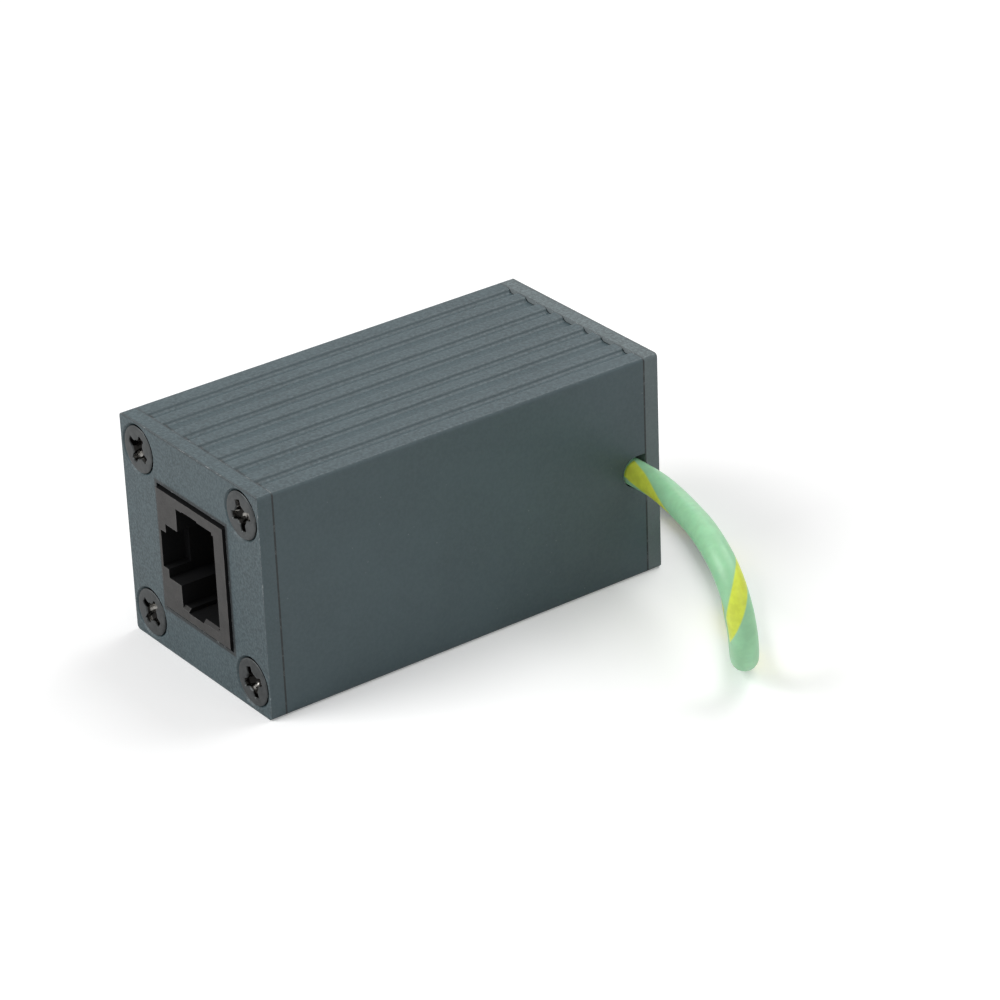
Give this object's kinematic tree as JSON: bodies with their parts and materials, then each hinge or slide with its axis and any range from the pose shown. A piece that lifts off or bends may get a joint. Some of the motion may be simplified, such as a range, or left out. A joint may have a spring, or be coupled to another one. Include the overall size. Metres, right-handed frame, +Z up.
{
  "type": "ethernet surge protector",
  "caption": "Square metal-tube surge protector for an ethernet line, with a network socket in each end plate and a fitted earth lead.",
  "frame": {"origin": "middle of the tube's underside, on the surface it lies on", "axes": "+Y along the tube towards the rear socket, the end beside the earth lead; +Z up through a ribbed wall; +X out of the side wall that the earth lead leaves"},
  "size_m": [0.0897, 0.0757, 0.028],
  "materials": {
    "tube": "slate grey anodised, satin",
    "end_plate": "grey powder coat, fine texture",
    "screw": "black oxide, satin",
    "socket": "moulded, fine matt",
    "carrier": "moulded, matt",
    "contact": "gold plated",
    "board": "green solder mask",
    "ceramic": "glazed ceramic",
    "electrode": "nickel plated",
    "diode": "moulded epoxy",
    "chip": "glazed",
    "solder": "tinned",
    "lead": "flexible insulation, slight sheen",
    "copper": "bare stranded copper",
    "tie": "moulded nylon",
    "terminal": "tinned copper",
    "sleeve": "moulded, semi-gloss"
  },
  "bodies": {
    "root": {"housing_tube": "tube", "front_end_plate": "end_plate", "rear_end_plate": "end_plate", "front_plate_screws": "screw", "rear_plate_screws": "screw", "circuit_board": "board", "front_socket_housing": "socket", "rear_socket_housing": "socket", "front_contact_carrier": "carrier", "rear_contact_carrier": "carrier", "front_contact_wires": "contact", "rear_contact_wires": "contact", "gas_tube_1_ceramic": "ceramic", "gas_tube_2_ceramic": "ceramic", "gas_tube_3_ceramic": "ceramic", "gas_tube_4_ceramic": "ceramic", "gas_tube_1_electrodes": "electrode", "gas_tube_2_electrodes": "electrode", "gas_tube_3_electrodes": "electrode", "gas_tube_4_electrodes": "electrode", "surge_diode_1": "diode", "surge_diode_2": "diode", "surge_diode_3": "diode", "surge_diode_4": "diode", "chip_resistors": "chip", "chip_resistor_caps": "solder", "inner_earth_lead": "lead", "inner_earth_strands": "copper", "earth_solder_joints": "solder", "earth_lead": "lead", "earth_lead_hank": "lead", "hank_tie": "tie", "ring_terminal": "terminal", "terminal_sleeve": "sleeve", "terminal_strands": "copper"}
  },
  "joints": []
}
